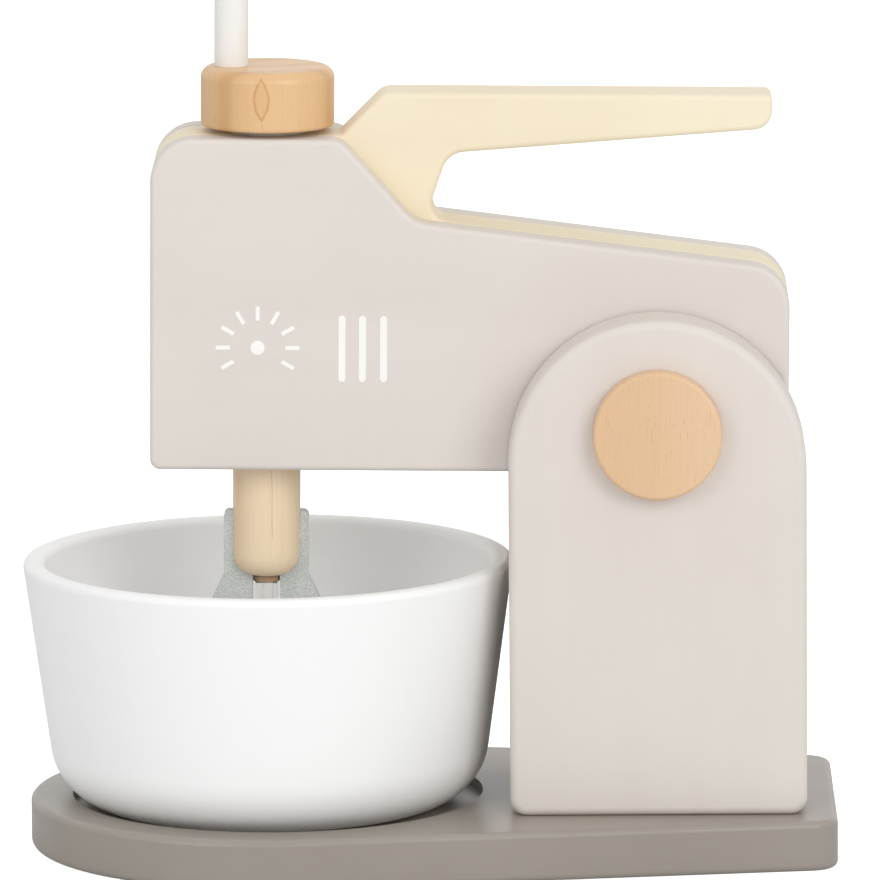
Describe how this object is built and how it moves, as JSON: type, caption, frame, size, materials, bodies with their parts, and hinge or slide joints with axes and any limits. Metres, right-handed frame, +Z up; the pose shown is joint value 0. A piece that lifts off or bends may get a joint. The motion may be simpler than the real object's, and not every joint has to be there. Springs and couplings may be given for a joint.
{
  "type": "toy stand mixer",
  "caption": "Wooden toy stand mixer: tilting head with carrying handle, crank-driven spindle with a flat beater, and a loose white bowl in a recess of the base board.",
  "frame": {"origin": "middle of the base board's underside", "axes": "+X along the base from the bowl to the tower, +Y to the rear, +Z up"},
  "size_m": [0.2423, 0.148, 0.2766],
  "materials": {
    "base_paint": "satin dark taupe paint",
    "greige_paint": "satin pale greige paint",
    "cream_paint": "satin cream stain",
    "beech_cap": "fine matt beech, end face",
    "beech_disc": "clear satin varnish on beech",
    "spindle_wood": "clear satin varnish",
    "raw_dowel": "plain turned beech",
    "white_lacquer": "satin white lacquer",
    "bowl_white": "satin white paint",
    "beater_grey": "speckled silver grey",
    "bright_steel": "bright drawn steel",
    "screw_steel": "zinc plated",
    "nylon": "natural nylon"
  },
  "bodies": {
    "stand": {"base_board": "base_paint", "base_screws": "screw_steel", "tower_front_cheek": "greige_paint", "tower_rear_cheek": "greige_paint", "tower_core": "greige_paint", "tower_dowels": "raw_dowel", "head_rest_dowel": "raw_dowel"},
    "head": {"head_front_plate": "greige_paint", "head_core": "cream_paint", "head_rear_plate": "greige_paint", "head_dowels": "raw_dowel", "pivot_axle": "raw_dowel", "pivot_cap_front": "beech_cap", "pivot_cap_rear": "beech_cap", "pivot_washers": "nylon", "spindle_bush_upper": "nylon", "spindle_bush_lower": "nylon"},
    "crank": {"crank_disc": "beech_disc", "crank_peg": "white_lacquer", "spindle": "spindle_wood", "beater_paddle": "beater_grey", "beater_post": "bright_steel", "beater_pin": "bright_steel"},
    "bowl": {"bowl": "bowl_white"}
  },
  "joints": [
    {"name": "head_tilt", "type": "hinge", "parent": "stand", "child": "head", "pos_m": [0.0674, 0, 0.13], "axis": [0, 1, 0], "range_deg": [0, 88]},
    {"name": "crank_spin", "type": "hinge", "parent": "head", "child": "crank", "pos_m": [-0.04859, 0, 0.13142], "axis": [0.0122, 0, 0.9999], "continuous": true},
    {"name": "bowl_lift", "type": "slide", "parent": "stand", "child": "bowl", "axis": [0, 0, 1], "range_m": [0, 0.01]}
  ]
}
